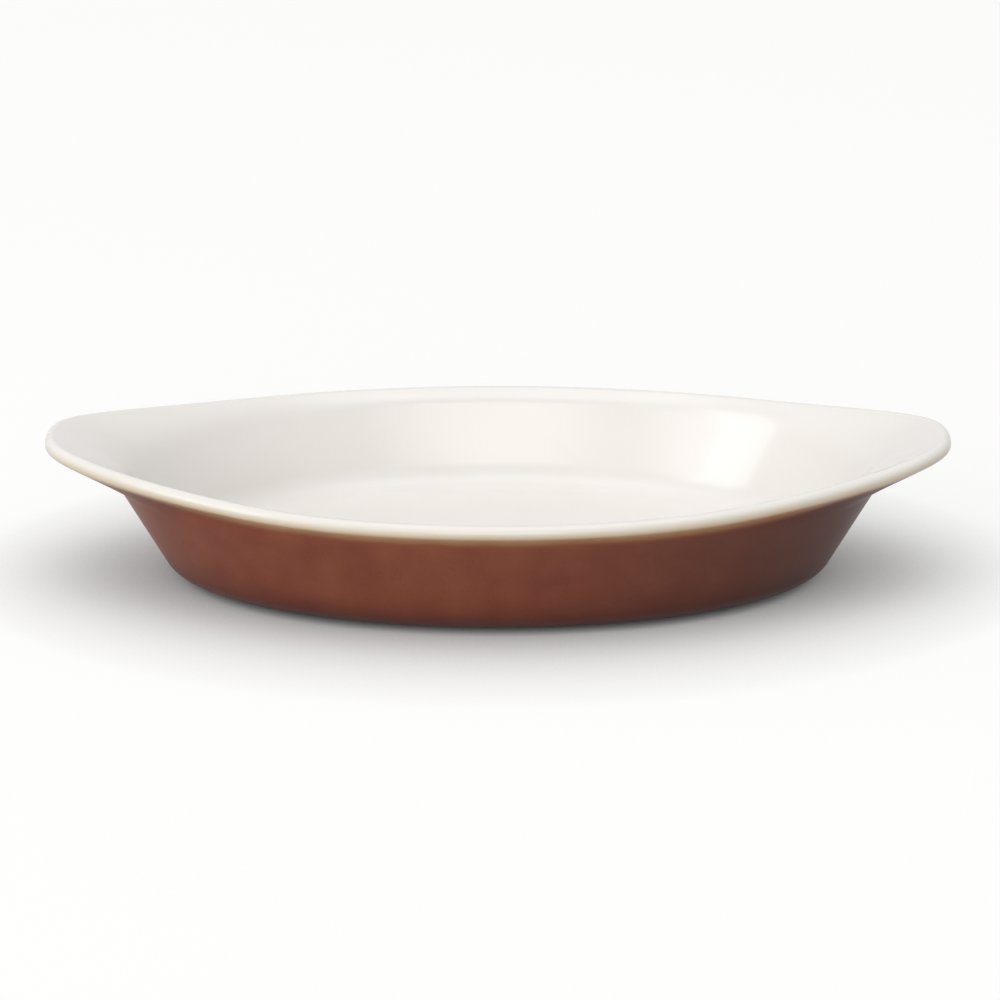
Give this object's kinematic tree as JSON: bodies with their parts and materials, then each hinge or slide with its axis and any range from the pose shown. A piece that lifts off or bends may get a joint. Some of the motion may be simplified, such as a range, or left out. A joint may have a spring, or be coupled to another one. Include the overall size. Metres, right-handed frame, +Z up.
{
  "type": "rarebit dish",
  "caption": "Shallow oval oven dish with two upturned ears, cream glaze inside, brown glaze outside and an amber line round the lip.",
  "frame": {"origin": "on the table, under the middle of the dish", "axes": "+X along the dish from ear to ear, +Y across it, +Z up out of its mouth"},
  "size_m": [0.228, 0.118, 0.0366],
  "materials": {
    "bare_stoneware": "unglazed fired stoneware, buff, fine grained and matte",
    "cream_glaze": "glossy cream-white glaze, opaque",
    "amber_glaze": "glossy honey-amber glaze where cream and brown run together",
    "brown_glaze": "semi-glossy red-brown glaze, softly mottled"
  },
  "bodies": {
    "root": {"stoneware_body": "bare_stoneware", "cream_glaze_inside": "cream_glaze", "amber_glaze_lip_line": "amber_glaze", "brown_glaze_outside": "brown_glaze", "brown_glaze_base": "brown_glaze"}
  },
  "joints": []
}
